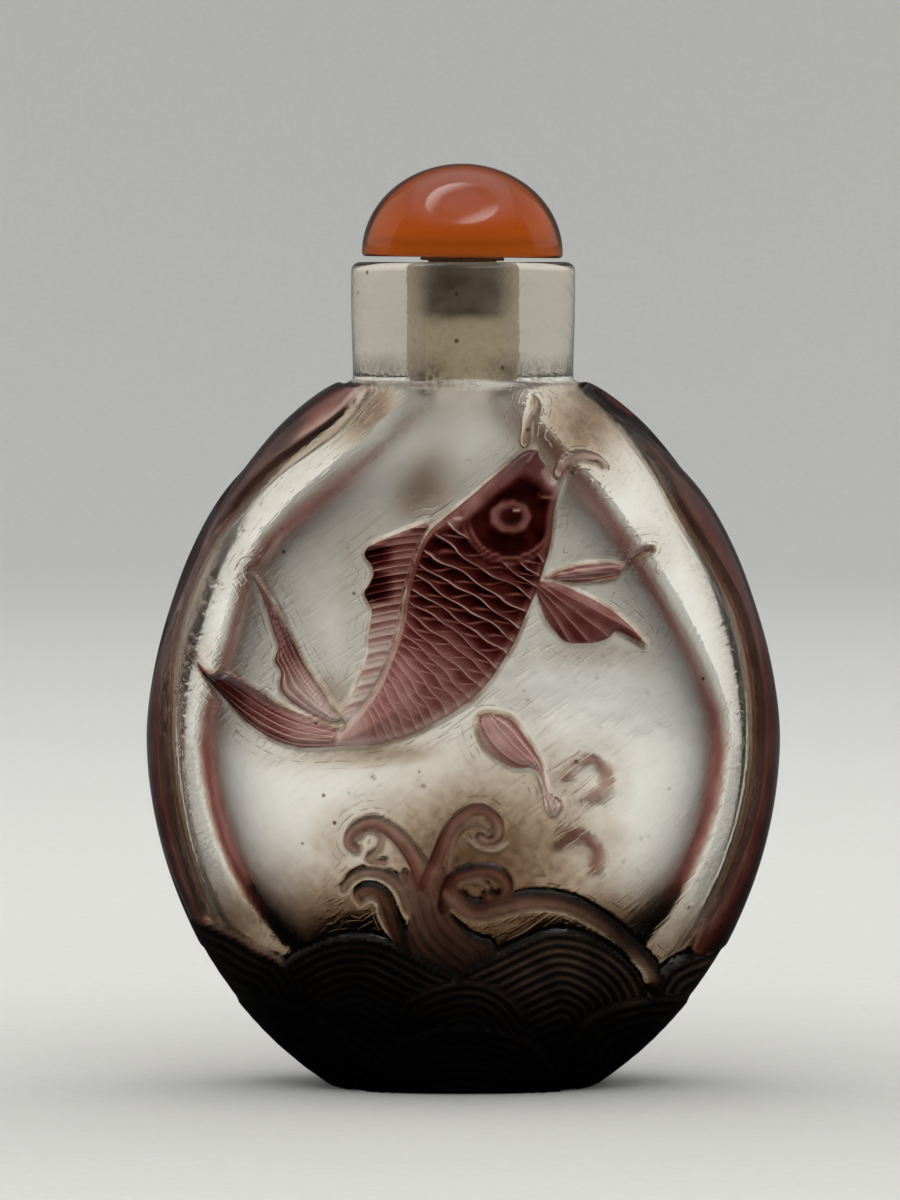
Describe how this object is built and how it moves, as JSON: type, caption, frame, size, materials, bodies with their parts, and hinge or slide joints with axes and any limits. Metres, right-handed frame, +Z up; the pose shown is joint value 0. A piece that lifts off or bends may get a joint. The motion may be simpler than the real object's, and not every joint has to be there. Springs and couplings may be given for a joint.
{
  "type": "snuff bottle",
  "caption": "Flattened clear glass snuff bottle cased in carved amethyst glass with a leaping carp, surf and sea, closed by an orange glass dome stopper on a cork",
  "frame": {"origin": "centre of the flat underside of the foot", "axes": "+Z up along the bottle's height, X across its broad face, -Y towards the face with the carp"},
  "size_m": [0.0488, 0.0244, 0.0701],
  "materials": {
    "overlay_glass": "polished clear glass under carved amethyst casing",
    "orange_glass": "polished",
    "cork": "dark cork"
  },
  "bodies": {
    "root": {"bottle": "overlay_glass", "stopper_dome": "orange_glass", "stopper_cork": "cork"}
  },
  "joints": []
}
